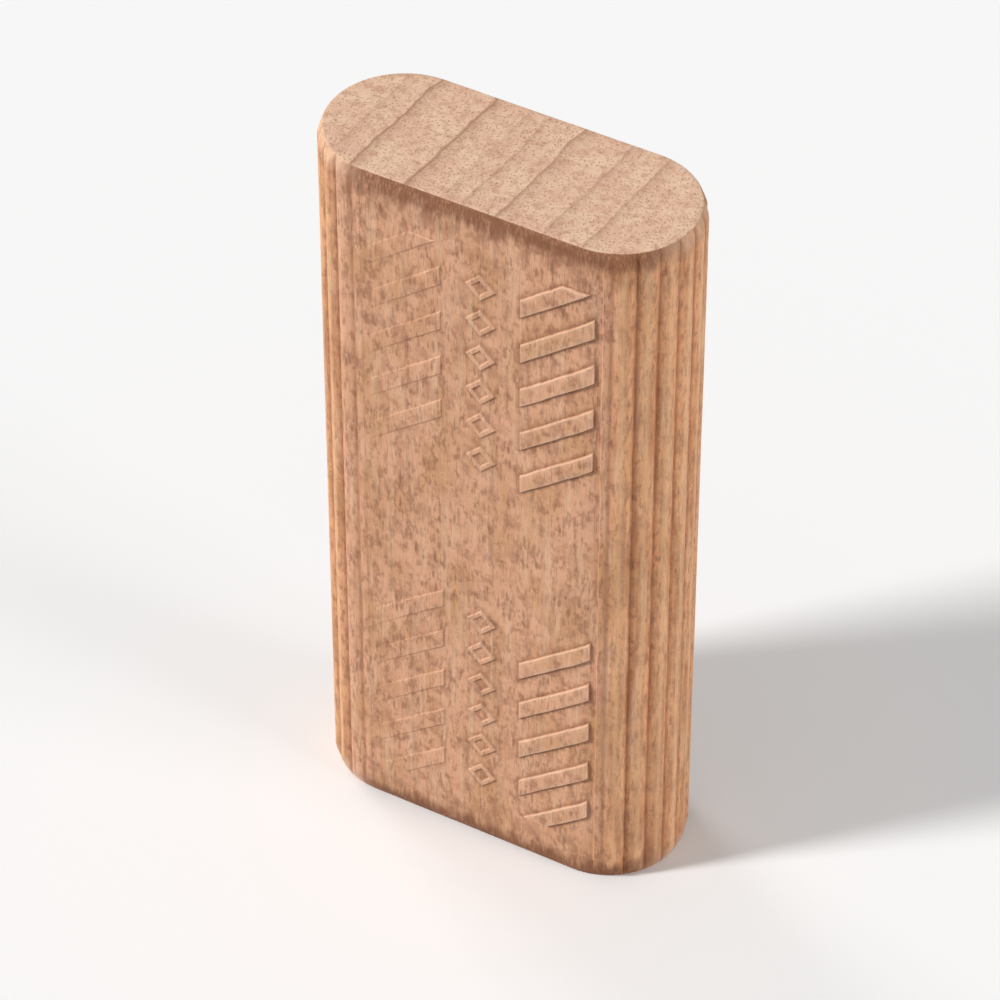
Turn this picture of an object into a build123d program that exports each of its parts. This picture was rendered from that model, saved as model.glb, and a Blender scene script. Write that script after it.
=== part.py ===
from build123d import *
import math
import os

# Loose tenon: one slip of beech that is glued into two facing mortises.
# X runs across its width, Y through its thickness and Z up along the grain.
# The origin is at the centre of the lower end. Sizes are in millimetres.

# Overall sizes.
length = 50.0
width = 24.0
thickness = 10.0

# The lead-in at each tip: how far in it goes, and how far it runs along the tenon.
lead_in_depth = 0.3
lead_in_length = 0.9

# Glue flutes along the two round ends. The flutes next to the broad faces are shallow.
# The shoulder is the smooth stretch between the end of a broad face and its first
# flute, in degrees around the round end.
flute_count = 10
flute_depth = 0.28
shallow_flute_depth = 0.13
shoulder_angle = 23.4

# Each broad face is pressed down around its raised marks. Seen from in front of its
# own face, the pressed field sits a little to the right, and the press leans over to
# that side, so the field is deepest there. The depth is the one at mid-width, and
# the lean is in degrees.
press_depth = 0.1
press_lean = 0.6
press_shift = 0.75
field_width = 15.6

# Raised slanting bars, in two upright columns that run in from both ends.
column_offset = 4.95
bar_width = 4.7
bar_height = 1.3
bar_rise = 3.69
bar_pitch = 3.34
bars_per_column_end = 5
first_bar_drop = 4.04
bar_end_margin = 3.14

# Raised lozenge rings, in one column between the bars.
lozenge_size = 1.9
lozenge_stroke = 0.28
lozenge_pitch = 2.6
lozenges_per_end = 6
first_lozenge_drop = 5.4

# Worked out from the sizes above.
end_radius = thickness / 2
end_centre = width / 2 - end_radius
reed_angle = (180 - shoulder_angle) / (flute_count - 0.5)
flute_angles = [shoulder_angle + reed_angle * number for number in range(flute_count)]
flute_depths = [shallow_flute_depth, *[flute_depth] * (flute_count - 2), shallow_flute_depth]


def end_point(radius, angle, side):
    """A point on a round end, at an angle from where its broad face stops."""
    turn = math.radians(angle)
    across = end_centre + radius * math.sin(turn)
    through = -radius * math.cos(turn)
    return side * across, side * through


def half_reed_radius(depth):
    """Radius of the arc that falls from a reed's crest to the bottom of a flute."""
    half_reed = math.radians(reed_angle / 2)
    half_chord = (end_radius - depth) * math.sin(half_reed)
    fall = end_radius - (end_radius - depth) * math.cos(half_reed)
    return (half_chord**2 + fall**2) / (2 * fall)


def heights_from_both_ends(first_drop, pitch, count):
    """Heights of a row of marks that is counted down from the top and up from the bottom."""
    drops = [first_drop + pitch * number for number in range(count)]
    return [length - drop for drop in drops] + drops


def both_ends_locations(across, first_drop, pitch, count):
    """Places on a broad face for one column of marks."""
    return [(across, height) for height in heights_from_both_ends(first_drop, pitch, count)]


# The outline of the section: two flats and two round ends of convex reeds. The
# right end is drawn from its front corner to its back corner, and the left end
# is the same line turned half round.
with BuildSketch() as fluted_outline:
    with BuildLine():
        for side in (1, -1):
            Line(end_point(end_radius, 180, -side), end_point(end_radius, 0, side))
            shoulder_crest = shoulder_angle - reed_angle / 2
            ThreePointArc(
                end_point(end_radius, 0, side),
                end_point(end_radius, shoulder_crest / 2, side),
                end_point(end_radius, shoulder_crest, side),
            )
            for angle, depth in zip(flute_angles, flute_depths):
                bottom = end_point(end_radius - depth, angle, side)
                crest_before = end_point(end_radius, angle - reed_angle / 2, side)
                crest_after = end_point(end_radius, angle + reed_angle / 2, side)
                RadiusArc(crest_before, bottom, -half_reed_radius(depth))
                RadiusArc(bottom, crest_after, -half_reed_radius(depth))
    make_face()

# The unfluted shape with a lead-in at both tips, which the flutes run out into.
with BuildPart() as envelope:
    with BuildSketch():
        SlotOverall(width, thickness)
    extrude(amount=length)
    for end in (0, -1):
        tip = envelope.faces().sort_by(Axis.Z)[end]
        chamfer(tip.edges(), length=lead_in_depth, length2=lead_in_length, reference=tip)

# What the press takes off the front face: a thin skin, thicker on the right, with
# holes through it where the raised marks stand.
with BuildPart() as pressed_skin:
    with BuildSketch():
        SlotOverall(width, thickness)
        SlotOverall(
            width - 2 * press_depth,
            thickness - 2 * press_depth,
            rotation=press_lean,
            mode=Mode.SUBTRACT,
        )
        with Locations((press_shift, -thickness / 2)):
            Rectangle(field_width, thickness, mode=Mode.INTERSECT)
    extrude(amount=length)
    with BuildSketch(Plane.front):
        for column in (-column_offset, column_offset):
            bar_places = both_ends_locations(
                press_shift + column, first_bar_drop, bar_pitch, bars_per_column_end
            )
            with Locations(*bar_places):
                Polygon(
                    (-bar_width / 2, -bar_rise / 2 - bar_height / 2),
                    (bar_width / 2, bar_rise / 2 - bar_height / 2),
                    (bar_width / 2, bar_rise / 2 + bar_height / 2),
                    (-bar_width / 2, -bar_rise / 2 + bar_height / 2),
                )
        with Locations((press_shift, length / 2)):
            Rectangle(field_width, length - 2 * bar_end_margin, mode=Mode.INTERSECT)
    extrude(amount=thickness, mode=Mode.SUBTRACT)
    with BuildSketch(Plane.front):
        lozenge_places = both_ends_locations(
            press_shift, first_lozenge_drop, lozenge_pitch, lozenges_per_end
        )
        with Locations(*lozenge_places):
            RegularPolygon(radius=lozenge_size / 2, side_count=4)
            RegularPolygon(
                radius=lozenge_size / 2 - lozenge_stroke * math.sqrt(2),
                side_count=4,
                mode=Mode.SUBTRACT,
            )
    extrude(amount=thickness, mode=Mode.SUBTRACT)

# The tenon: the fluted bar, trimmed to its lead-ins and pressed on both faces.
with BuildPart() as loose_tenon:
    add(fluted_outline.sketch)
    extrude(amount=length)
    add(envelope.part, mode=Mode.INTERSECT)
    add(pressed_skin.part, mode=Mode.SUBTRACT)
    add(pressed_skin.part, rotation=(0, 0, 180), mode=Mode.SUBTRACT)
loose_tenon.part.label = "loose_tenon"

os.makedirs("parts", exist_ok=True)
export_step(loose_tenon.part, "parts/loose_tenon.step")
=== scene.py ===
import math
from types import SimpleNamespace

import bmesh
import bpy
import numpy as np
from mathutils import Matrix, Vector, noise
from mathutils.geometry import delaunay_2d_cdt


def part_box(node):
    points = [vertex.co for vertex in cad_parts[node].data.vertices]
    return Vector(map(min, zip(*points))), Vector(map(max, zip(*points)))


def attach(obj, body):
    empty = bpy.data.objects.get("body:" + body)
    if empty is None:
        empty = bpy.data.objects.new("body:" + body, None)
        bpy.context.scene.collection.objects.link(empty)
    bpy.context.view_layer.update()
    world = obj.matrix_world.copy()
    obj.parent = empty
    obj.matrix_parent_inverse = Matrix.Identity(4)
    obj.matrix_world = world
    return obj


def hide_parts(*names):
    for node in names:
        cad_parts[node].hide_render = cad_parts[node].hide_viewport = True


# A beech loose tenon, standing on its end on a plain pale floor.
# Lengths in this script are in millimetres until a mesh, lamp or camera is made.

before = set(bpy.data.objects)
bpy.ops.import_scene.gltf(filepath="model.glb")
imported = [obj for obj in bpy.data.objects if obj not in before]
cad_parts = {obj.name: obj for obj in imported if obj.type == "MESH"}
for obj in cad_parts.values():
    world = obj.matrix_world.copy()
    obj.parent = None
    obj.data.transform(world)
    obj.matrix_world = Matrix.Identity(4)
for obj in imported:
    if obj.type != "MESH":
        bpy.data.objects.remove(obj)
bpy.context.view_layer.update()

MM = 0.001
NODE = "loose_tenon"

# ---------------------------------------------------------------------------
# Sizes. Length and thickness come from the frame, and the rest repeat the solid's.
# The solid's box is a little under the width, because a flute lies at its widest place.
# ---------------------------------------------------------------------------

box_low, box_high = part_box(NODE)
thickness = (box_high.y - box_low.y) / MM
length = (box_high.z - box_low.z) / MM
width = 24.0
lead_in_depth = 0.3
lead_in_length = 0.9

flute_count = 10
flute_depth = 0.28
shallow_flute_depth = 0.13
shoulder_angle = math.radians(23.4)

press_depth = 0.1
press_lean = math.radians(0.6)
press_shift = 0.75
field_width = 15.6

column_offset = 4.95
bar_width = 4.7
bar_height = 1.3
bar_rise = 3.69
bar_pitch = 3.34
bars_per_column_end = 5
first_bar_drop = 4.04
bar_end_margin = 3.14

lozenge_size = 1.9
lozenge_stroke = 0.28
lozenge_pitch = 2.6
lozenges_per_end = 6
first_lozenge_drop = 5.4

# Worked out from the sizes above.
end_radius = thickness / 2
half_flat = width / 2 - end_radius
quarter_girth = half_flat + end_radius * math.pi / 2
reed_angle = (math.pi - shoulder_angle) / (flute_count - 0.5)
shoulder_crest = shoulder_angle - reed_angle / 2
field_left = press_shift - field_width / 2
field_right = press_shift + field_width / 2

# ---------------------------------------------------------------------------
# Finish of the surface.
# ---------------------------------------------------------------------------

# Corners that are sharp in the solid are softened here. Edges of the mesh that still turn
# by more than the sharp angle are shaded as sharp.
EDGE_SOFTNESS = 0.048
TIP_SOFTNESS = 0.05
TIP_ROUNDING = 0.09
TIP_ROUNDING_RUN = 0.35 * TIP_ROUNDING
SHARP_ANGLE = math.radians(38)

# Slight unevenness of cut and pressed wood: how far each kind goes, and how fine it is
# across and along the grain.
WAVE = 0.02
WAVE_SCALES = (0.45, 0.15)
FIBRE = 0.01
FIBRE_SCALES = (4.5, 0.35)
WANDER = 0.035
SIDEWAYS_SCALES = (1.1, 0.5)
LENGTHWAYS_SCALES = (1.1, 0.9)
TIP_WANDER = 0.12
TIP_WANDER_SCALES = (0.8, 0.8)
SAW_DEPTH = 0.008
SAW_SCALE = 0.9

# The unevenness of the lead-ins, and the one along the length, grow in from nothing
# between these distances from an end.
TIP_WANDER_GROWTH = (0, 0.4)
LENGTHWAYS_GROWTH = (0.3, 1.5)

# Bands along the edges of the raised marks, for the material: at the foot a darkening that is
#  partly from pressing and partly painted shade, and at the brow a paleness that is partly from
#  pressing and partly a painted highlight. Each goes from outside a mark's outline, where the
#  distance is negative, to inside it. They come in as the press goes from shallow to deep.
BROW = (-0.04, 0.11)
FOOT = (-0.13, 0.0)
SHALLOW_PRESS = 0.04
DEEP_PRESS = 0.16

# ---------------------------------------------------------------------------
# Fineness of the mesh.
# ---------------------------------------------------------------------------

# Distances between points: along the length, across the broad faces, along the edges of
# the bars and the lozenges, and on the flat ends.
ROW_STEP = 0.42
FACE_STEP = 0.36
BAR_STEP = 0.2
LOZENGE_STEP = 0.13
CAP_STEP = 0.4

# Lines of points along the edges of the raised marks, at these distances from them, and
# the room that the other points leave there.
EDGE_LEVELS = (-0.08, -0.036, 0.0, 0.036, 0.08)
CLEAR_OF_MARKS = 0.14

# Columns of points on each reed, by their distance from its crest as a share of its pitch.
REED_SHARES = (-0.5, -0.36, -0.2, 0.0, 0.2, 0.36)

# Rows of points near a tip, by their distance from it.
TIP_ROWS = (
    0, 0.008, 0.02, 0.04, 0.07, 0.12, 0.2, 0.3, 0.4,
    0.5, 0.6, 0.7, 0.78, 0.86, 0.94, 1.02, 1.12, 1.3,
)

# The angle that the columns on the reeds leave free beside the line where the halves meet.
CLEAR_ANGLE = 0.01

# Angles and lengths closer than these are the same. Points closer than the weld become one.
SAME_ANGLE = 1e-9
SAME_LENGTH = 1e-6
WELD = 0.001

# ---------------------------------------------------------------------------
# The raised marks on a broad face, as convex outlines in (across, up).
# ---------------------------------------------------------------------------


def clip_below(outline, top):
    """The part of a convex outline that lies below a height."""
    kept = []
    for (x0, z0), (x1, z1) in zip(outline, outline[1:] + outline[:1]):
        if z0 <= top:
            kept.append((x0, z0))
        if (z0 <= top) != (z1 <= top):
            share = (top - z0) / (z1 - z0)
            kept.append((x0 + share * (x1 - x0), top))
    return kept


def half_turn(outline):
    """An outline turned half round about the middle of the face."""
    return [(2 * press_shift - x, length - z) for x, z in outline]


def bar_outlines():
    """Slanting bars in two columns, from both ends of the face."""
    bars = []
    for across in (press_shift - column_offset, press_shift + column_offset):
        for number in range(bars_per_column_end):
            middle = length - first_bar_drop - bar_pitch * number
            left, right = across - bar_width / 2, across + bar_width / 2
            low, high = middle - bar_rise / 2, middle + bar_rise / 2
            bar = [
                (left, low - bar_height / 2),
                (right, high - bar_height / 2),
                (right, high + bar_height / 2),
                (left, low + bar_height / 2),
            ]
            bars.append(clip_below(bar, length - bar_end_margin))
    return bars + [half_turn(bar) for bar in bars]


def lozenge_outlines(reach):
    """Diamonds in the middle column, from both ends of the face."""
    diamonds = []
    for number in range(lozenges_per_end):
        middle = length - first_lozenge_drop - lozenge_pitch * number
        diamond = [
            (press_shift, middle - reach),
            (press_shift + reach, middle),
            (press_shift, middle + reach),
            (press_shift - reach, middle),
        ]
        diamonds.append(diamond)
    return diamonds + [half_turn(diamond) for diamond in diamonds]


bars = bar_outlines()
outer_lozenges = lozenge_outlines(lozenge_size / 2)
inner_lozenges = lozenge_outlines(lozenge_size / 2 - lozenge_stroke * math.sqrt(2))


def edge_lines(outline):
    """Each edge of a convex outline: its outward normal and its line's distance from the origin."""
    lines = []
    for (x0, z0), (x1, z1) in zip(outline, outline[1:] + outline[:1]):
        edge = math.hypot(x1 - x0, z1 - z0)
        normal = ((z1 - z0) / edge, (x0 - x1) / edge)
        lines.append((normal, normal[0] * x0 + normal[1] * z0))
    return lines


def depth_inside(outline, across, up):
    """How far points lie inside a convex outline. It is negative outside."""
    depth = np.full(across.shape, np.inf)
    for normal, reach in edge_lines(outline):
        depth = np.minimum(depth, reach - normal[0] * across - normal[1] * up)
    return depth


def grown(outline, amount):
    """A convex outline with each edge moved outwards by an amount."""
    lines = edge_lines(outline)
    corners = []
    for (n0, r0), (n1, r1) in zip(lines[-1:] + lines[:-1], lines):
        area = n0[0] * n1[1] - n0[1] * n1[0]
        reach0, reach1 = r0 + amount, r1 + amount
        across = (reach0 * n1[1] - reach1 * n0[1]) / area
        up = (reach1 * n0[0] - reach0 * n1[0]) / area
        corners.append((across, up))
    return corners


# ---------------------------------------------------------------------------
# The surface: its distance from the middle line of the section, at a place
# (along the girth from the middle of the broad face, up the length).
# ---------------------------------------------------------------------------


def smooth_step(value, low, high):
    """A smooth change from 0 at low to 1 at high."""
    share = np.clip((value - low) / (high - low), 0, 1)
    return share * share * (3 - 2 * share)


def soft_minimum(a, b, softness):
    """The lower of two heights, with the corner between them rounded."""
    share = np.clip(0.5 + 0.5 * (b - a) / softness, 0, 1)
    return b + (a - b) * share - softness * share * (1 - share) / 2


def end_angle(girth):
    """Angle of a place round its round end, from the side where that end has its shoulder."""
    right = (girth - half_flat) / end_radius
    left = math.pi - (-girth - half_flat) / end_radius
    return np.where(girth >= 0, right, left)


def flute_turns(girth):
    """How many reed pitches a place lies past the shoulder's crest."""
    return (end_angle(girth) - shoulder_crest) / reed_angle


def own_flute_depth(girth):
    """Depth of the flute that a place lies in. The two next to the broad faces are shallow."""
    flute = np.floor(flute_turns(girth))
    outermost = (flute <= 0) | (flute >= flute_count - 1)
    return np.where(outermost, shallow_flute_depth, flute_depth)


def fluted_radius(girth):
    """Distance from the middle line to the reeds and the smooth shoulder."""
    angle = end_angle(girth)
    turns = flute_turns(girth)
    flute = np.clip(np.floor(turns), 0, flute_count - 1)
    valley_radius = end_radius - own_flute_depth(girth)
    half_chord = valley_radius * math.sin(reed_angle / 2)
    fall = end_radius - valley_radius * math.cos(reed_angle / 2)
    reed_radius = (half_chord**2 + fall**2) / (2 * fall)
    reed_centre = end_radius - reed_radius
    off_crest = np.minimum(turns - flute, flute + 1 - turns) * reed_angle
    off_crest = np.where((angle < shoulder_crest) | (angle > math.pi), 0, off_crest)
    side = reed_radius**2 - (reed_centre * np.sin(off_crest)) ** 2
    return reed_centre * np.cos(off_crest) + np.sqrt(side)


def lead_in_radius(from_end):
    """Distance from the middle line that the lead-in at the nearer end allows."""
    tip = end_radius - lead_in_depth
    rounded = TIP_ROUNDING * np.exp(-from_end / TIP_ROUNDING_RUN)
    return tip + from_end * lead_in_depth / lead_in_length - rounded


def inside_marks(girth, up):
    """How far places lie inside the nearest raised mark. It is negative on the pressed floor."""
    inside = np.full(girth.shape, -1.0)
    for bar in bars:
        inside = np.maximum(inside, depth_inside(bar, girth, up))
    for outer, inner in zip(outer_lozenges, inner_lozenges):
        ring = np.minimum(depth_inside(outer, girth, up), -depth_inside(inner, girth, up))
        inside = np.maximum(inside, ring)
    return inside


def raised(girth, up):
    """1 on top of a raised mark, 0 on the pressed floor between them."""
    return smooth_step(inside_marks(girth, up), -EDGE_SOFTNESS, EDGE_SOFTNESS)


def press_inset(girth):
    """Depth of the pressed floor, which leans over to the right."""
    return press_depth + girth * math.tan(press_lean)


def pressed_radius(girth, up):
    """Distance from the middle line to the pressed field and its raised marks."""
    field = smooth_step(girth, field_left - EDGE_SOFTNESS, field_left + EDGE_SOFTNESS)
    field = field * smooth_step(-girth, -field_right - EDGE_SOFTNESS, -field_right + EDGE_SOFTNESS)
    return end_radius - press_inset(girth) * field * (1 - raised(girth, up))


# ---------------------------------------------------------------------------
# The mesh: half the girth is triangulated flat, wrapped, then turned half round.
# ---------------------------------------------------------------------------


def row_heights():
    """Heights of the rows of points, close together at both tips."""
    last = TIP_ROWS[-1]
    count = round((length - 2 * last) / ROW_STEP)
    middle = [last + (length - 2 * last) * row / count for row in range(1, count)]
    return list(TIP_ROWS) + middle + [length - drop for drop in reversed(TIP_ROWS)]


def girth_columns():
    """Places along half the girth for the columns of points."""
    columns = {-quarter_girth, quarter_girth}
    for number in range(-1, flute_count + 1):
        for share in REED_SHARES:
            angle = shoulder_angle + (number + 0.5 + share) * reed_angle
            if shoulder_crest - SAME_ANGLE <= angle < math.pi / 2 - CLEAR_ANGLE:
                columns.add(half_flat + end_radius * angle)
            if math.pi / 2 + CLEAR_ANGLE < angle <= math.pi + SAME_ANGLE:
                columns.add(-half_flat - end_radius * (math.pi - angle))
    face_left, face_right = -half_flat, half_flat + end_radius * shoulder_crest
    count = round((face_right - face_left) / FACE_STEP)
    for step in range(count + 1):
        columns.add(face_left + (face_right - face_left) * step / count)
    for wall in (field_left, field_right):
        for level in EDGE_LEVELS:
            columns.add(wall + level)
    return sorted(columns)


def outline_loop(outline, step):
    """Points evenly spaced along a closed outline."""
    points = []
    for (x0, z0), (x1, z1) in zip(outline, outline[1:] + outline[:1]):
        count = max(1, round(math.hypot(x1 - x0, z1 - z0) / step))
        for number in range(count):
            share = number / count
            points.append((x0 + (x1 - x0) * share, z0 + (z1 - z0) * share))
    return points


def edge_loops(outlines, step):
    """Loops of points along the edges of raised marks, a little outside and inside them."""
    return [
        outline_loop(grown(outline, level), step) for outline in outlines for level in EDGE_LEVELS
    ]


def half_skin():
    """Points (girth, up) and triangles for half the girth."""
    girth, up = [grid.ravel() for grid in np.meshgrid(girth_columns(), row_heights())]
    near = np.full(girth.shape, np.inf)
    for outline in bars + outer_lozenges + inner_lozenges:
        near = np.minimum(near, np.abs(depth_inside(outline, girth, up)))
    kept = near > CLEAR_OF_MARKS
    points = [Vector(place) for place in zip(girth[kept], up[kept])]
    edges = []
    bar_loops = edge_loops(bars, BAR_STEP)
    lozenge_loops = edge_loops(outer_lozenges + inner_lozenges, LOZENGE_STEP)
    for loop in bar_loops + lozenge_loops:
        start = len(points)
        points += [Vector(place) for place in loop]
        for number in range(len(loop)):
            edges.append((start + number, start + (number + 1) % len(loop)))
    found, _, triangles, *_ = delaunay_2d_cdt(points, edges, [], 0, SAME_LENGTH)
    return np.array([tuple(point) for point in found]), np.array(triangles)


def tip_points():
    """Points spread over the flat end of the tenon, clear of its rim."""
    inset = end_radius - lead_in_depth - TIP_ROUNDING - CAP_STEP / 2
    count = math.ceil((half_flat + inset) / CAP_STEP)
    points = []
    for row in range(-count, count + 1):
        for column in range(-count, count + 1):
            across = CAP_STEP * (column + row % 2 / 2)
            through = CAP_STEP * row
            if math.hypot(max(abs(across) - half_flat, 0), through) < inset:
                points.append((across, through))
    return points


def noise_at(places, scales, seed):
    """Smooth noise from about -1 to 1 at each place, as fine as its two scales say."""
    across_scale, up_scale = scales
    return np.array(
        [
            noise.noise(Vector((x * across_scale + seed, y * across_scale, z * up_scale)))
            for x, y, z in places
        ]
    )


def wrapped(flat_points, turn):
    """Half the skin in 3-D, with the slight unevenness of cut and pressed wood."""
    girth, up = flat_points[:, 0], flat_points[:, 1]
    over = np.clip(np.abs(girth) - half_flat, 0, None) / end_radius
    normal = np.stack([np.sign(girth) * np.sin(over), -np.cos(over), 0 * up], axis=1) * turn
    foot = np.stack([np.clip(girth, -half_flat, half_flat) * turn, 0 * up, up], axis=1)
    nominal = foot + normal * end_radius
    from_end = np.minimum(up, length - up)

    radius = np.minimum(fluted_radius(girth), pressed_radius(girth, up))
    ragged = TIP_WANDER * noise_at(nominal, TIP_WANDER_SCALES, seed=11)
    ragged = ragged * smooth_step(from_end, *TIP_WANDER_GROWTH)
    radius = soft_minimum(radius, lead_in_radius(from_end + ragged), TIP_SOFTNESS)
    radius -= WAVE * (0.5 + 0.5 * noise_at(nominal, WAVE_SCALES, seed=23))
    radius -= FIBRE * np.abs(noise_at(nominal, FIBRE_SCALES, seed=37))

    along = np.stack([-normal[:, 1], normal[:, 0], 0 * up], axis=1)
    sideways = WANDER * noise_at(nominal, SIDEWAYS_SCALES, seed=51)
    lengthways = WANDER * noise_at(nominal, LENGTHWAYS_SCALES, seed=67)
    lengthways = lengthways * smooth_step(from_end, *LENGTHWAYS_GROWTH)
    places = foot + normal * radius[:, None] + along * sideways[:, None]
    places[:, 2] += lengthways
    return places


def tip_cap(places, rim, up, facing):
    """Triangles that close one end inside its rim. Their new points are added to the places."""
    rim_places = [places[n][:2] for n in rim]
    flat_points = [Vector(place) for place in rim_places + tip_points()]
    outline = list(range(len(rim)))
    found, _, triangles, sources, *_ = delaunay_2d_cdt(flat_points, [], [outline], 1, SAME_LENGTH)
    numbers = []
    for (x, y), source in zip(found, sources):
        if min(source) < len(rim):
            numbers.append(rim[min(source)])
        else:
            numbers.append(len(places))
            dip = SAW_DEPTH * (1 + noise.noise(Vector((x * SAW_SCALE, y * SAW_SCALE, up)))) / 2
            places.append((x, y, up - facing * dip))
    return [tuple(numbers[corner] for corner in corners) for corners in triangles]


def recess_of(flat_points):
    """How deep each place lies in its flute, from 0 on a crest to 1 at the bottom. The material
    paints shade and highlights by it.
    """
    girth = flat_points[:, 0]
    return (end_radius - fluted_radius(girth)) / own_flute_depth(girth)


def near_mark_edge(flat_points, low, high):
    """1 in a band along the edges of the deepest raised marks, 0 elsewhere."""
    inside = inside_marks(flat_points[:, 0], flat_points[:, 1])
    middle = (low + high) / 2
    near = smooth_step(inside, low, middle) * smooth_step(-inside, -high, -middle)
    return near * smooth_step(press_inset(flat_points[:, 0]), SHALLOW_PRESS, DEEP_PRESS)


def tenon_mesh():
    """The whole closed surface as a mesh in metres."""
    flat_points, skin_triangles = half_skin()
    count = len(flat_points)
    halves = [wrapped(flat_points, turn) for turn in (1, -1)]
    places = list(map(tuple, np.concatenate(halves)))
    triangles = [tuple(corners) for corners in skin_triangles]
    triangles += [(a + count, b + count, c + count) for a, b, c in skin_triangles]

    for up, facing in ((0.0, -1), (length, 1)):
        at_tip = [n for n in range(count) if abs(flat_points[n, 1] - up) < SAME_LENGTH]
        at_tip.sort(key=lambda n: flat_points[n, 0])
        rim = at_tip[:-1] + [n + count for n in at_tip[:-1]]
        triangles += tip_cap(places, rim, up, facing)

    mesh = bpy.data.meshes.new("tenon_wood")
    mesh.from_pydata([(x * MM, y * MM, z * MM) for x, y, z in places], [], triangles)
    # Levels that the material paints by: flute depth, for painted shade and crest highlights, and
    # bands along the raised marks, for their painted shade and highlights.
    painted = {
        "recess": recess_of(flat_points),
        "mark_brow": near_mark_edge(flat_points, *BROW),
        "mark_foot": near_mark_edge(flat_points, *FOOT),
    }
    for name, values in painted.items():
        levels = np.zeros(len(places), dtype=np.float32)
        levels[: 2 * count] = np.tile(values, 2)
        mesh.attributes.new(name, "FLOAT", "POINT").data.foreach_set("value", levels)
    edit = bmesh.new()
    edit.from_mesh(mesh)
    bmesh.ops.remove_doubles(edit, verts=edit.verts, dist=WELD * MM)
    bmesh.ops.recalc_face_normals(edit, faces=edit.faces)
    edit.to_mesh(mesh)
    edit.free()
    mesh.shade_smooth()
    mesh.set_sharp_from_angle(angle=SHARP_ANGLE)
    return mesh


# ---------------------------------------------------------------------------
# The wood. Its patterns are worked out in millimetres from the tenon's own
# coordinates: across, through and up along the grain.
# ---------------------------------------------------------------------------

# Growth rings: where each one crosses the middle of the thickness, and how dark it is.
RINGS = (
    (-9.2, 0.35),
    (-7.5, 0.9),
    (-3.8, 1.0),
    (-1.5, 0.32),
    (-0.25, 0.5),
    (1.95, 0.8),
    (5.05, 0.5),
    (7.45, 0.55),
)

# A ring is a thin dark line, beside it a lower level, and from there a slow fade.
RING_LINE = 0.12
RING_AFTER_LINE = 0.35
RING_FADE = 1.0

# How much the rings lean through the thickness, how much they wander, and how far to
# each side of the middle their pattern reaches.
RING_LEAN = 0.07
RING_WANDER = 0.7
RING_SPAN = 13.0

# Colours as they look on a screen, from 0 to 255. First the flat ends.
END_PALE = (237, 201, 170)
END_PINK = (228, 185, 158)
END_MOTTLE = (201, 155, 126)
END_SPECK = (240, 210, 184)
END_PORE = (166, 120, 92)
END_RING = (152, 107, 80)

# Then the sides: the broad faces, the reeds, and what the grain draws on them.
FACE_BASE = (236, 179, 144)
# The reed colour is partly the wood's own tone and partly painted warm bounce light.
REED_TONE_AND_WARM_BOUNCE = (244, 180, 132)
SIDE_BLOTCH = (212, 158, 110)
SIDE_CLOUD = (186, 131, 102)
SIDE_RAY = (160, 107, 80)
SIDE_STREAK = (242, 200, 164)
REED_BAND = (184, 116, 74)
SIDE_FIBRE = (168, 116, 85)
SIDE_SPECK = (246, 212, 184)
SMALL_RAY = (138, 88, 62)
SPINDLE = (136, 86, 60)
SCRATCH = (128, 82, 56)
SIDE_RING = (144, 96, 70)

# Then what cutting and pressing left on the sides, with painted shade and painted highlights.
SMUDGE = (156, 107, 80)
# Burnish colour, which on the right round end also stands in for painted shade.
BURNISH_AND_SHADE = (132, 84, 57)
FRESH_CUT = (250, 214, 184)
# Painted shade for the flute bottoms, and a painted highlight for the reed crests.
FLUTE_BOTTOM_SHADE = (144, 80, 44)
REED_CREST_HIGHLIGHT = (250, 208, 162)
# The foot colour is partly pressing and partly painted shade. The brow colour is partly pressing
# and partly a painted highlight.
MARK_FOOT_PRESSING_AND_SHADE = (120, 74, 50)
MARK_BROW_PRESSING_AND_HIGHLIGHT = (248, 214, 184)

# Relief of the grain, and how matt the wood is: at the least, and how much more on fibres.
GRAIN_RELIEF = 0.03
ROUGHNESS = 0.55
FIBRE_ROUGHNESS = 0.2


def screen_colour(red, green, blue):
    """A colour as it looks on a screen, 0 to 255, turned into a shader's linear values."""
    shares = [value / 255 for value in (red, green, blue)]
    linear = [((s + 0.055) / 1.055) ** 2.4 if s > 0.04045 else s / 12.92 for s in shares]
    return (*linear, 1.0)


def grey(level):
    """A grey as a shader's linear values."""
    return (level, level, level, 1.0)


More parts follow.
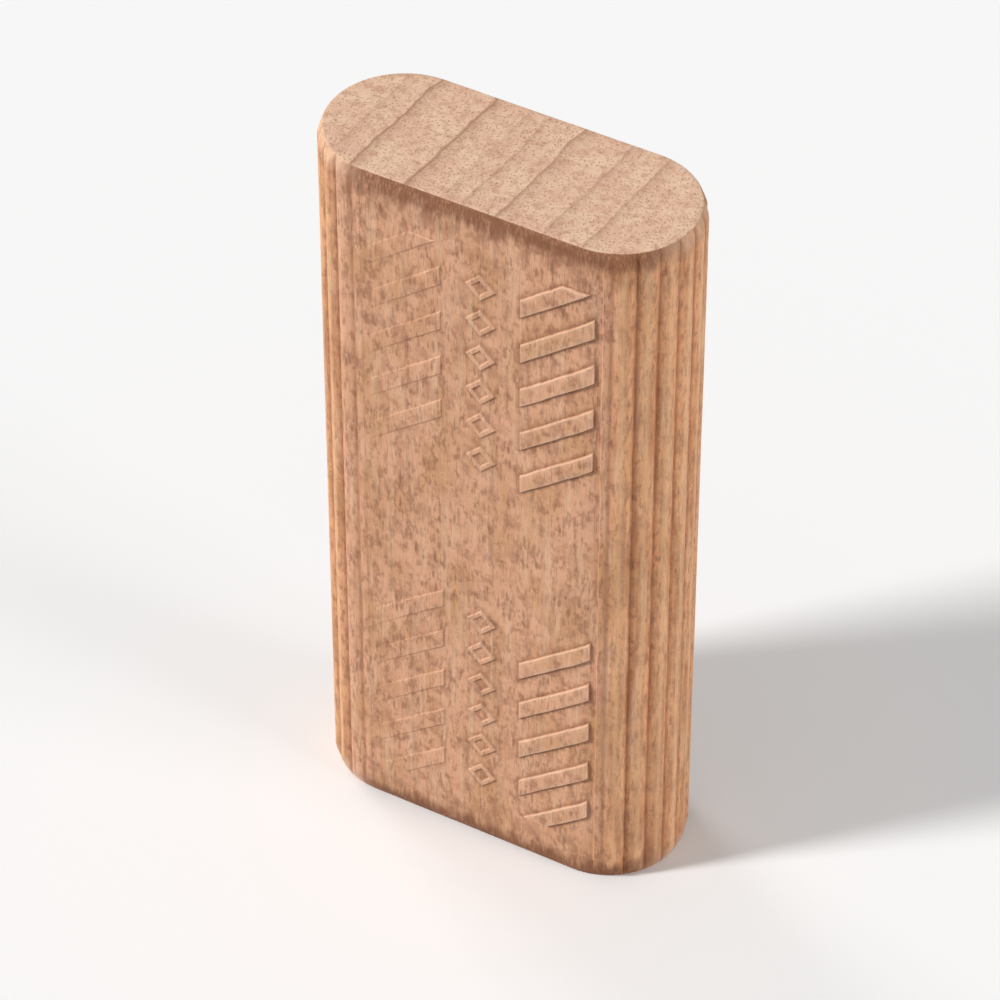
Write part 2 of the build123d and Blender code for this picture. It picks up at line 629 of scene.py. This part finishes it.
class Pattern:
    """The nodes of a material or a world, with a short call for each kind of node."""

    def __init__(self, owner):
        self.owner = owner
        owner.use_nodes = True
        self.tree = owner.node_tree
        self.tree.nodes.clear()

    def node(self, kind, sockets, **settings):
        """A new node. Each socket gets a value, or a link from another node's output."""
        made = self.tree.nodes.new(kind)
        for name, value in settings.items():
            setattr(made, name, value)
        for socket, value in sockets.items():
            if isinstance(value, bpy.types.NodeSocket):
                self.tree.links.new(value, made.inputs[socket])
            else:
                made.inputs[socket].default_value = value
        return made

    def maths(self, operation, *values):
        """The result of one operation on numbers."""
        sockets = dict(enumerate(values))
        return self.node("ShaderNodeMath", sockets, operation=operation).outputs[0]

    def times(self, first, *others):
        """The product of two or more numbers."""
        for value in others:
            first = self.maths("MULTIPLY", first, value)
        return first

    def shifted(self, value, wander, reach):
        """A number moved to and fro by a noise that goes from 0 to 1."""
        return self.maths("MULTIPLY_ADD", self.maths("SUBTRACT", wander, 0.5), reach, value)

    def stretched(self, place, x, y, z):
        """The same place with its three coordinates multiplied."""
        sockets = {0: place, 1: (x, y, z)}
        return self.node("ShaderNodeVectorMath", sockets, operation="MULTIPLY").outputs[0]

    def noise(self, place, fineness, detail=2.0, roughness=0.5):
        """Noise from 0 to 1. Fineness is how fast it changes across, through and up."""
        sockets = {
            "Vector": self.stretched(place, *fineness),
            "Scale": 1.0,
            "Detail": detail,
            "Roughness": roughness,
        }
        return self.node("ShaderNodeTexNoise", sockets).outputs["Fac"]

    def spots(self, place, fineness):
        """Distance from the nearest of many scattered points, and a random level for each."""
        sockets = {"Vector": self.stretched(place, *fineness), "Scale": 1.0}
        made = self.node("ShaderNodeTexVoronoi", sockets)
        level = self.node("ShaderNodeSeparateColor", {0: made.outputs["Color"]})
        return made.outputs["Distance"], level.outputs[0]

    def step(self, value, low, high):
        """A smooth change from 0 at low to 1 at high."""
        sockets = {"Value": value, "From Min": low, "From Max": high}
        made = self.node("ShaderNodeMapRange", sockets, interpolation_type="SMOOTHSTEP")
        return made.outputs[0]

    def blend(self, share, first, second):
        """The first colour where the share is 0 and the second where it is 1."""
        sockets = {0: share, 6: first, 7: second}
        return self.node("ShaderNodeMix", sockets, data_type="RGBA").outputs[2]

    def over(self, base, share, strength, rgb):
        """A screen colour laid over a base colour, as strongly as a share of a strength."""
        return self.blend(self.times(share, strength), base, screen_colour(*rgb))

    def painted(self, name):
        """The levels that the mesh carries under a name."""
        return self.node("ShaderNodeAttribute", {}, attribute_name=name).outputs["Fac"]

    def seen_directly(self):
        """1 where a backdrop is seen straight, in a gloss or through glass, 0 for its light."""
        path = self.node("ShaderNodeLightPath", {}).outputs
        seen = self.maths("MAXIMUM", path["Is Camera Ray"], path["Is Glossy Ray"])
        return self.maths("MAXIMUM", seen, path["Is Transmission Ray"])

    def ramp(self, value, stops):
        """A grey level that follows (place, level) stops."""
        made = self.node("ShaderNodeValToRGB", {0: value})
        elements = made.color_ramp.elements
        elements.remove(elements[0])
        elements[0].position = stops[0][0]
        for position, _ in stops[1:]:
            elements.new(position)
        for element, (_, level) in zip(elements, stops):
            element.color = grey(level)
        return made.outputs[0]


def ring_stops():
    """Stops for the growth rings, from one side of the tenon to the other."""
    profile = ((-RING_LINE, 0.0), (0.0, 1.0), (RING_LINE, RING_AFTER_LINE), (RING_FADE, 0.0))
    stops = []
    for place, strength in RINGS:
        for offset, share in profile:
            stops.append(((place + offset + RING_SPAN) / (2 * RING_SPAN), share * strength))
    return stops


def wood_grain(nodes):
    """The patterns in the wood, which its colours and its relief follow."""
    metres = nodes.node("ShaderNodeTexCoord", {}).outputs["Object"]
    place = nodes.stretched(metres, 1 / MM, 1 / MM, 1 / MM)
    across, through, up = nodes.node("ShaderNodeSeparateXYZ", {0: place}).outputs

    # Rays are thin sheets across the rings: patches on a broad face, spindles on the round ends.
    small_rays = nodes.noise(place, (4.2, 8.0, 1.25), 2.0, 0.6)
    spot_distance, spot_level = nodes.spots(place, (3.0, 5.5, 0.75))
    bent = nodes.shifted(spot_distance, small_rays, 0.7)
    spindles = nodes.times(nodes.step(bent, 0.4, 0.24), nodes.step(spot_level, 0.35, 0.8))

    # Growth rings run across the thickness and wander a little.
    wobble = nodes.noise(place, (0.4, 0.4, 0.03))
    lean = nodes.maths("MULTIPLY_ADD", through, -RING_LEAN, across)
    ring_place = nodes.shifted(lean, wobble, RING_WANDER)
    ring_share = nodes.maths("MULTIPLY_ADD", ring_place, 0.5 / RING_SPAN, 0.5)

    return SimpleNamespace(
        across=across,
        from_end=nodes.maths("MINIMUM", up, nodes.maths("SUBTRACT", length, up)),
        on_reeds=nodes.step(nodes.maths("ABSOLUTE", across), 8.6, 9.6),
        fibres=nodes.noise(place, (9.0, 9.0, 0.5), 3.0, 0.6),
        streaks=nodes.noise(place, (2.0, 3.0, 0.16)),
        bands=nodes.noise(place, (1.5, 1.5, 0.13)),
        blotches=nodes.noise(place, (0.4, 0.6, 0.22), 2.0, 0.6),
        clouds=nodes.noise(place, (0.95, 1.6, 0.8), 3.0, 0.6),
        rays=nodes.noise(place, (1.8, 4.5, 1.15), 4.0, 0.6),
        small_rays=small_rays,
        spindles=spindles,
        patches=nodes.step(nodes.noise(place, (0.55, 0.55, 0.55), 1.0), 0.36, 0.58),
        specks=nodes.noise(place, (5.0, 5.0, 5.0), 2.0, 0.7),
        scratches=nodes.noise(place, (15.0, 15.0, 0.7), 1.0),
        fingers=nodes.noise(place, (2.6, 2.6, 0.3), 3.0, 0.65),
        end_mottle=nodes.noise(place, (1.7, 1.7, 1.7), 4.0, 0.6),
        end_pores=nodes.noise(place, (6.5, 6.5, 0.02), 1.0),
        ring=nodes.ramp(ring_share, ring_stops()),
    )


def end_colour(nodes, grain):
    """The flat ends, which show end grain."""
    pinkness = nodes.step(grain.blotches, 0.35, 0.65)
    end = nodes.blend(pinkness, screen_colour(*END_PALE), screen_colour(*END_PINK))
    end = nodes.over(end, nodes.step(grain.end_mottle, 0.42, 0.7), 0.8, END_MOTTLE)
    end = nodes.over(end, nodes.step(grain.specks, 0.52, 0.75), 0.7, END_SPECK)
    end = nodes.over(end, nodes.step(grain.end_pores, 0.52, 0.72), 0.7, END_PORE)
    return nodes.over(end, grain.ring, 1.0, END_RING)


def side_colour(nodes, grain):
    """The sides, which show the length of the grain. The broad faces are pinker than the reeds,
    whose extra orange is partly their own colour and partly painted warm bounce light.
    """
    flecks = nodes.times(grain.patches, nodes.maths("MULTIPLY_ADD", grain.on_reeds, -0.45, 1.0))
    reed_bands = nodes.times(nodes.step(grain.bands, 0.46, 0.66), grain.on_reeds)
    small_rays = nodes.times(nodes.step(grain.small_rays, 0.54, 0.68), flecks)
    spindles = nodes.times(grain.spindles, flecks)

    # The reeds' base colour carries painted warm bounce light as well as their own tone.
    side = nodes.blend(grain.on_reeds, screen_colour(*FACE_BASE), screen_colour(*REED_TONE_AND_WARM_BOUNCE))
    side = nodes.over(side, nodes.step(grain.blotches, 0.4, 0.7), 0.7, SIDE_BLOTCH)
    side = nodes.over(side, nodes.step(grain.clouds, 0.45, 0.7), 0.6, SIDE_CLOUD)
    side = nodes.over(side, nodes.step(grain.rays, 0.5, 0.66), 0.6, SIDE_RAY)
    side = nodes.over(side, nodes.step(grain.streaks, 0.5, 0.72), 0.55, SIDE_STREAK)
    side = nodes.over(side, reed_bands, 0.5, REED_BAND)
    side = nodes.over(side, nodes.step(grain.fibres, 0.48, 0.72), 0.35, SIDE_FIBRE)
    side = nodes.over(side, nodes.step(grain.specks, 0.55, 0.75), 0.35, SIDE_SPECK)
    side = nodes.over(side, small_rays, 0.5, SMALL_RAY)
    side = nodes.over(side, spindles, 0.45, SPINDLE)
    side = nodes.over(side, nodes.step(grain.scratches, 0.62, 0.76), 0.4, SCRATCH)

    # Near the ends, each ring goes on down the side as a short dark streak.
    near_end = nodes.step(grain.from_end, 3.6, 1.2)
    ring_on_side = nodes.maths("ADD", near_end, nodes.step(grain.streaks, 0.45, 0.6))
    return nodes.over(side, nodes.times(grain.ring, ring_on_side), 0.4, SIDE_RING)


def cut_and_pressed(nodes, grain, side):
    """The colour of the sides with the traces of cutting and pressing on it, and painted shade
    and painted highlights in the flutes and along the raised marks.
    """
    # The lead-ins are burnished dark, and the stain runs out unevenly along the grain below
    #     them. It is gone by the left round end, and it reaches further round the right end, where
    #     part of the darkening is painted shade, before it fades at the far right, where the cut is
    #     pale.
    rubbed_and_shaded = nodes.times(nodes.step(grain.across, -8.9, -6.6), nodes.step(grain.across, 12.6, 10.2))
    ragged = nodes.shifted(grain.from_end, grain.fingers, 2.0)
    smudge = nodes.times(nodes.step(ragged, 3.4, 0.8), nodes.step(grain.clouds, 0.4, 0.6), rubbed_and_shaded)
    off_fibres = nodes.step(grain.fibres, 0.9, 0.4)
    burnish_and_shade = nodes.times(nodes.step(ragged, 1.75, 0.55), off_fibres, rubbed_and_shaded)
    fresh_cut = nodes.times(nodes.step(ragged, 1.6, 0.4), nodes.maths("SUBTRACT", 1.0, rubbed_and_shaded))
    side = nodes.over(side, smudge, 0.5, SMUDGE)
    side = nodes.over(side, burnish_and_shade, 0.9, BURNISH_AND_SHADE)
    side = nodes.over(side, fresh_cut, 0.38, FRESH_CUT)

    # Painted shade darkens the bottoms of the glue flutes, and a painted highlight makes the crests
    # of the reeds paler.
    recess = nodes.painted("recess")
    below_lead_in = nodes.step(grain.from_end, 0.8, 1.8)
    crest = nodes.times(nodes.step(recess, 0.15, 0.0), grain.on_reeds, below_lead_in)
    side = nodes.over(side, nodes.step(recess, 0.4, 1.0), 0.42, FLUTE_BOTTOM_SHADE)
    side = nodes.over(side, crest, 0.35, REED_CREST_HIGHLIGHT)

    # Along the raised marks, the foot of the walls is darker, partly from pressing and partly as
    #     painted shade, and the edges are paler, partly from pressing and partly as a painted
    #     highlight.
    side = nodes.over(side, nodes.painted("mark_foot"), 0.6, MARK_FOOT_PRESSING_AND_SHADE)
    return nodes.over(side, nodes.painted("mark_brow"), 0.55, MARK_BROW_PRESSING_AND_HIGHLIGHT)


def beech():
    """Steamed beech: end grain on the tips, rays and fibres on the sides, burnished cut edges
    that are partly painted shade, and painted shade and highlights in the flutes and along the
    raised marks.
    """
    nodes = Pattern(bpy.data.materials.new("beech"))
    grain = wood_grain(nodes)
    side = cut_and_pressed(nodes, grain, side_colour(nodes, grain))
    on_end = nodes.step(grain.from_end, 0.06, 0.02)
    colour = nodes.blend(on_end, side, end_colour(nodes, grain))

    height = nodes.maths("ADD", nodes.times(grain.fibres, 0.7), nodes.times(grain.rays, 0.3))
    relief = {"Height": height, "Strength": 0.6, "Distance": GRAIN_RELIEF * MM}
    finish = {
        "Base Color": colour,
        "Roughness": nodes.maths("MULTIPLY_ADD", grain.fibres, FIBRE_ROUGHNESS, ROUGHNESS),
        "Normal": nodes.node("ShaderNodeBump", relief).outputs[0],
        "Specular IOR Level": 0.3,
    }
    surface = nodes.node("ShaderNodeBsdfPrincipled", finish)
    nodes.node("ShaderNodeOutputMaterial", {"Surface": surface.outputs[0]})
    return nodes.owner


def placed(name, data):
    """A new object in the scene."""
    made = bpy.data.objects.new(name, data)
    bpy.context.scene.collection.objects.link(made)
    return made


wood = placed("tenon_wood", tenon_mesh())
wood.data.materials.append(beech())
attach(wood, "root")
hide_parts(NODE)

# ---------------------------------------------------------------------------
# Floor, light and camera. Angles are in degrees.
# ---------------------------------------------------------------------------

# How bright the floor and the sky are: by the light that they give, and as they are seen.
FLOOR_LIGHT = 0.5
FLOOR_SEEN = 0.99
SKY_LIGHT = 0.34
SKY_SEEN = 0.92

FLOOR_REACH = 2000
CAMERA_AZIMUTH = 29.32
CAMERA_ELEVATION = 42.64
CAMERA_DISTANCE = 305.65
CAMERA_AIM = (-0.056, -1.187, length / 2)
CAMERA_LENS = 185
CAMERA_SENSOR = 36
CAMERA_CLIP_START = 10


def direction(azimuth, elevation):
    """Unit vector towards a place round the tenon. Azimuth 0 is in front of it."""
    turn, rise = math.radians(azimuth), math.radians(elevation)
    level = math.cos(rise)
    return Vector((math.sin(turn) * level, -math.cos(turn) * level, math.sin(rise)))


def face_from(holder, way):
    """Turns a lamp or a camera to look back from a direction."""
    holder.rotation_mode = "QUATERNION"
    holder.rotation_quaternion = way.to_track_quat("Z", "Y")


def sun(name, azimuth, elevation, strength, spread):
    """A soft lamp far off in a direction. Spread is its width."""
    lamp = bpy.data.lights.new(name, "SUN")
    lamp.energy = strength
    lamp.angle = math.radians(spread)
    face_from(placed(name, lamp), direction(azimuth, elevation))


reach = FLOOR_REACH * MM
floor_mesh = bpy.data.meshes.new("floor")
corners = [(-reach, -reach, 0), (reach, -reach, 0), (reach, reach, 0), (-reach, reach, 0)]
floor_mesh.from_pydata(corners, [], [(0, 1, 2, 3)])
floor_nodes = Pattern(bpy.data.materials.new("pale_floor"))
floor_colour = floor_nodes.blend(floor_nodes.seen_directly(), grey(FLOOR_LIGHT), grey(FLOOR_SEEN))
floor_surface = floor_nodes.node("ShaderNodeBsdfDiffuse", {"Color": floor_colour})
floor_nodes.node("ShaderNodeOutputMaterial", {"Surface": floor_surface.outputs[0]})
floor_mesh.materials.append(floor_nodes.owner)
floor = placed("floor", floor_mesh)

sun("front", azimuth=-48, elevation=34, strength=2.3, spread=9)
sun("behind_left", azimuth=-115, elevation=30, strength=0.6, spread=24)
sun("low_right", azimuth=90, elevation=14, strength=1.25, spread=26)

studio = Pattern(bpy.data.worlds.new("studio"))
sky_level = studio.maths("MULTIPLY_ADD", studio.seen_directly(), SKY_SEEN - SKY_LIGHT, SKY_LIGHT)
sky = studio.node("ShaderNodeBackground", {"Color": grey(1.0), "Strength": sky_level})
studio.node("ShaderNodeOutputWorld", {"Surface": sky.outputs[0]})
bpy.context.scene.world = studio.owner

camera = placed("camera", bpy.data.cameras.new("camera"))
camera.data.sensor_width = CAMERA_SENSOR
camera.data.lens = CAMERA_LENS
camera.data.clip_start = CAMERA_CLIP_START * MM
back = direction(CAMERA_AZIMUTH, CAMERA_ELEVATION)
face_from(camera, back)
camera.location = (Vector(CAMERA_AIM) + back * CAMERA_DISTANCE) * MM
bpy.context.scene.camera = camera
bpy.context.scene.view_settings.view_transform = "Standard"
